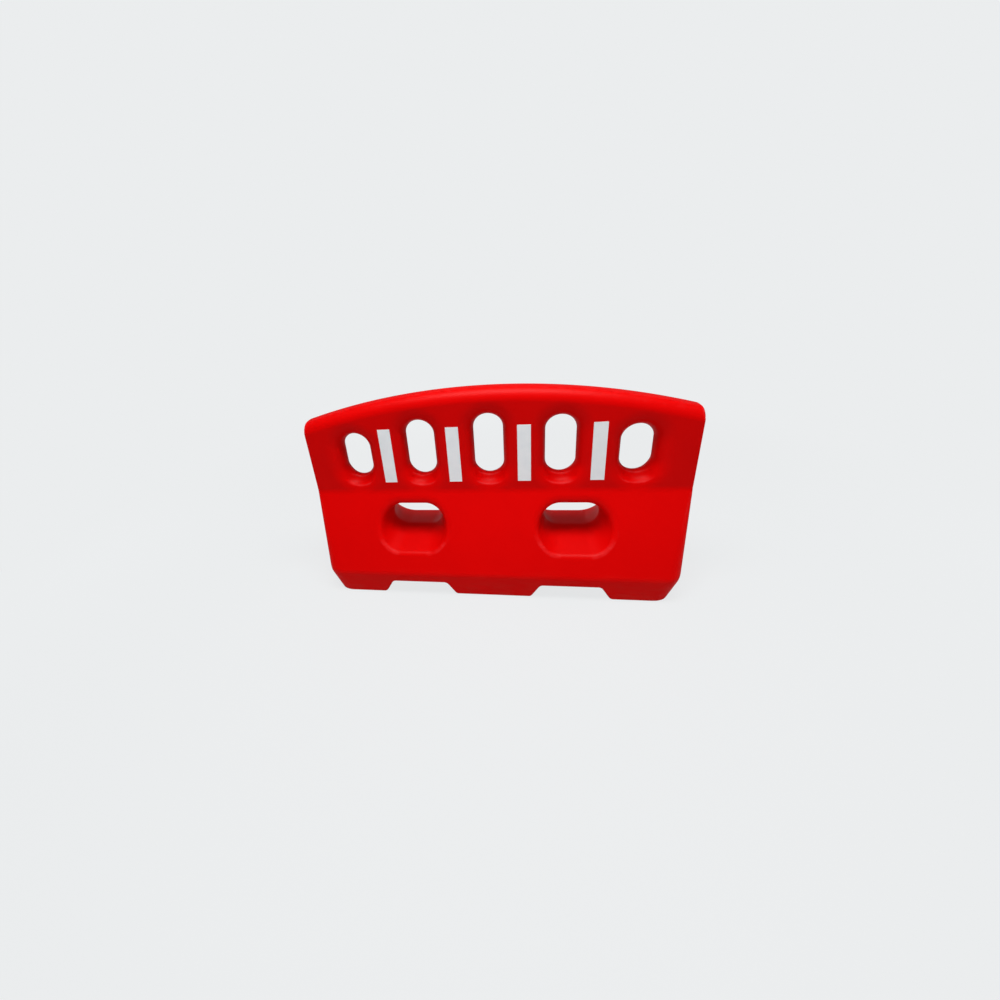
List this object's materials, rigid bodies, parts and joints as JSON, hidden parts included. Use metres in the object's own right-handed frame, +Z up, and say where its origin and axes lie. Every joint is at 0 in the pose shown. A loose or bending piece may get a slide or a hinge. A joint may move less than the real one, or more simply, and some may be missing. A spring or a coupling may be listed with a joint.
{
  "type": "water-filled road barrier",
  "caption": "Hollow moulded road barrier with an arched slotted panel, flared tunnelled base, fork channels, reflective strips, screw filler cap and drain plug.",
  "frame": {"origin": "on the ground under the middle of the barrier", "axes": "+X along the barrier, the pictured front faces -Y, +Z up"},
  "size_m": [1.8, 0.4988, 0.9998],
  "materials": {
    "shell_plastic": "rotomoulded polyethylene, satin with a faint orange peel",
    "reflective_film": "adhesive retroreflective film",
    "collar_plastic": "turned black nylon, satin",
    "gasket_rubber": "moulded rubber, matt",
    "cap_plastic": "injection-moulded polyethylene, satin"
  },
  "bodies": {
    "barrier": {"barrier_shell": "shell_plastic", "front_strip_1": "reflective_film", "front_strip_2": "reflective_film", "front_strip_3": "reflective_film", "front_strip_4": "reflective_film", "rear_strip_1": "reflective_film", "rear_strip_2": "reflective_film", "rear_strip_3": "reflective_film", "rear_strip_4": "reflective_film", "filler_collar": "collar_plastic", "drain_collar": "collar_plastic"},
    "filler_seal": {"filler_gasket": "gasket_rubber"},
    "filler_lid": {"filler_cap": "cap_plastic"},
    "drain_seal": {"drain_gasket": "gasket_rubber"},
    "drain_stopper": {"drain_plug": "cap_plastic"}
  },
  "joints": [
    {"name": "filler_lift", "type": "slide", "parent": "barrier", "child": "filler_seal", "axis": [0, 0.9001, 0.4357], "range_m": [0, 0.02]},
    {"name": "filler_turn", "type": "hinge", "parent": "filler_seal", "child": "filler_lid", "pos_m": [0, 0.1164, 0.4], "axis": [0, 0.9001, 0.4357], "range_deg": [0, 1440]},
    {"name": "drain_lift", "type": "slide", "parent": "barrier", "child": "drain_seal", "axis": [0, 1, 0], "range_m": [0, 0.015]},
    {"name": "drain_turn", "type": "hinge", "parent": "drain_seal", "child": "drain_stopper", "pos_m": [0, 0.214, 0.04], "axis": [0, 1, 0], "range_deg": [0, 1800]}
  ],
  "couplings": [
    {"joint": "filler_turn", "follows": "filler_lift", "rad_per_m": 1256.6},
    {"joint": "drain_turn", "follows": "drain_lift", "rad_per_m": 2094.4}
  ]
}
